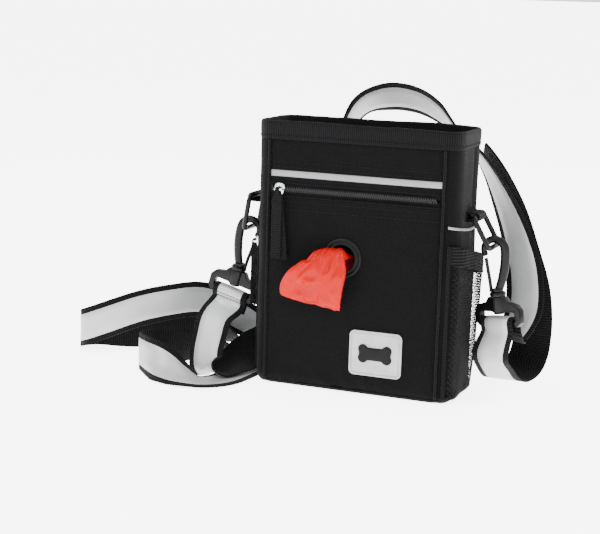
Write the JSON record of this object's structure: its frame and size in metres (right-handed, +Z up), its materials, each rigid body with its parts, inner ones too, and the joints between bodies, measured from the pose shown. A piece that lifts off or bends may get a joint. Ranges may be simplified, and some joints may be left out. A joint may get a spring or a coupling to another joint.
{
  "type": "pet treat pouch",
  "caption": "Upright zipped pouch for pet treats with a bag-roll dispenser grommet, mesh side pocket and clipped webbing shoulder strap.",
  "frame": {"origin": "centre of the pouch's base, on the surface it stands on", "axes": "+Z up out of the mouth, -Y out of the front with the zip and grommet, +X towards the side with the mesh pocket"},
  "size_m": [0.3826, 0.1866, 0.2306],
  "materials": {
    "shell_fabric": "coarse plain-woven polyester, matt",
    "lining_fabric": "smooth coated lining cloth",
    "mesh_fabric": "open stretch mesh",
    "grosgrain": "ribbed binding and elastic",
    "reflective_tape": "grey reflective tape",
    "webbing": "black ribbed webbing with a grey reflective tape along one face",
    "zip_nylon": "moulded coil and tape",
    "hardware_plastic": "satin moulded plastic",
    "slider_metal": "bright nickel plated",
    "magnet_metal": "nickel plated",
    "grommet_rubber": "matt moulded rubber",
    "patch_rubber": "light grey moulded rubber",
    "bag_film": "thin crinkled plastic film",
    "card": "brown card tube"
  },
  "bodies": {
    "root": {"base_panel": "shell_fabric", "back_panel": "shell_fabric", "front_upper_panel": "shell_fabric", "front_lower_panel": "shell_fabric", "left_gusset": "shell_fabric", "right_gusset": "shell_fabric", "rim_binding": "grosgrain", "lining": "lining_fabric", "divider_panel": "lining_fabric", "reflective_strip": "reflective_tape", "side_reflective_trim": "reflective_tape", "left_front_piping": "grosgrain", "right_front_piping": "grosgrain", "front_magnet": "magnet_metal", "back_magnet": "magnet_metal", "front_zip_upper_tape": "zip_nylon", "front_zip_lower_tape": "zip_nylon", "front_zip_coil": "zip_nylon", "grommet": "grommet_rubber", "grommet_washer": "grommet_rubber", "patch": "patch_rubber", "patch_emblem": "patch_rubber", "side_zip_tape": "zip_nylon", "side_zip_coil": "zip_nylon", "mesh_pocket": "mesh_fabric", "pocket_elastic_band": "grosgrain", "left_ring_tab": "webbing", "right_ring_tab": "webbing", "strap_tri_glide": "hardware_plastic", "strap_main": "webbing", "strap_inner_layer": "webbing", "strap_outer_layer": "webbing"},
    "front_zip_slider": {"front_zip_slider": "slider_metal"},
    "front_zip_puller": {"front_zip_puller": "webbing"},
    "side_zip_slider": {"side_zip_slider": "slider_metal"},
    "side_zip_puller": {"side_zip_puller": "webbing"},
    "bag_roll": {"bag_roll": "bag_film", "roll_core": "card"},
    "bag_tail": {"bag_tail": "bag_film"},
    "left_ring": {"left_ring": "hardware_plastic"},
    "left_hook": {"left_hook": "hardware_plastic", "strap_left_drop": "webbing"},
    "left_gate": {"left_hook_gate": "hardware_plastic"},
    "left_swivel": {"left_swivel_base": "hardware_plastic", "strap_left_fold": "webbing"},
    "right_ring": {"right_ring": "hardware_plastic"},
    "right_hook": {"right_hook": "hardware_plastic", "strap_inner_drop": "webbing", "strap_outer_drop": "webbing"},
    "right_gate": {"right_hook_gate": "hardware_plastic"},
    "right_swivel": {"right_swivel_base": "hardware_plastic", "strap_right_fold": "webbing"}
  },
  "joints": [
    {"name": "front_zip_slide", "type": "slide", "parent": "root", "child": "front_zip_slider", "axis": [1, 0, 0], "range_m": [0, 0.118], "deforming": ["bag_tail"]},
    {"name": "front_pull_swing", "type": "hinge", "parent": "front_zip_slider", "child": "front_zip_puller", "pos_m": [-0.059, -0.0363, 0.1515], "axis": [-1, 0, 0], "range_deg": [0, 85]},
    {"name": "side_zip_slide", "type": "slide", "parent": "root", "child": "side_zip_slider", "axis": [0, 0, -1], "range_m": [0, 0.046]},
    {"name": "side_pull_swing", "type": "hinge", "parent": "side_zip_slider", "child": "side_zip_puller", "pos_m": [-0.0865, -0.014, 0.107], "axis": [0, 1, 0], "range_deg": [0, 85]},
    {"name": "bag_roll_spin", "type": "hinge", "parent": "root", "child": "bag_roll", "pos_m": [-0.007, -0.0125, 0.0882], "axis": [1, 0, 0], "range_deg": [0, 60]},
    {"name": "bag_tail_pull", "type": "slide", "parent": "root", "child": "bag_tail", "axis": [0, -1, 0], "range_m": [0, 0.015]},
    {"name": "left_ring_swing", "type": "hinge", "parent": "root", "child": "left_ring", "pos_m": [-0.09, -0.004, 0.141], "axis": [0, 1, 0], "range_deg": [0, 40], "deforming": ["strap_left_drop"]},
    {"name": "left_hook_swing", "type": "hinge", "parent": "left_ring", "child": "left_hook", "pos_m": [-0.09391, -0.004, 0.11631], "axis": [0, 1, 0], "range_deg": [-3, 25]},
    {"name": "left_gate_open", "type": "hinge", "parent": "left_hook", "child": "left_gate", "pos_m": [-0.09863, -0.004, 0.08281], "axis": [0, -1, 0], "range_deg": [0, 14], "stiffness_Nm_per_rad": 0.02, "springref_deg": -5.73},
    {"name": "left_swivel_turn", "type": "hinge", "parent": "left_hook", "child": "left_swivel", "pos_m": [-0.10422, -0.004, 0.08036], "axis": [0.2756, 0, 0.9613], "range_deg": [0, 60]},
    {"name": "right_ring_swing", "type": "hinge", "parent": "root", "child": "right_ring", "pos_m": [0.087, -0.001, 0.139], "axis": [0, -1, 0], "range_deg": [0, 35], "deforming": ["strap_inner_drop", "strap_outer_drop"]},
    {"name": "right_hook_swing", "type": "hinge", "parent": "right_ring", "child": "right_hook", "pos_m": [0.0995, -0.001, 0.11735], "axis": [0, -1, 0], "range_deg": [0, 25]},
    {"name": "right_gate_open", "type": "hinge", "parent": "right_hook", "child": "right_gate", "pos_m": [0.09951, -0.001, 0.08352], "axis": [0, 1, 0], "range_deg": [0, 14], "stiffness_Nm_per_rad": 0.02, "springref_deg": -5.73},
    {"name": "right_swivel_turn", "type": "hinge", "parent": "right_hook", "child": "right_swivel", "pos_m": [0.10471, -0.001, 0.08031], "axis": [-0.1392, 0, 0.9903], "range_deg": [-60, 0]}
  ],
  "couplings": [
    {"joint": "bag_roll_spin", "follows": "bag_tail_pull", "rad_per_m": 69}
  ]
}
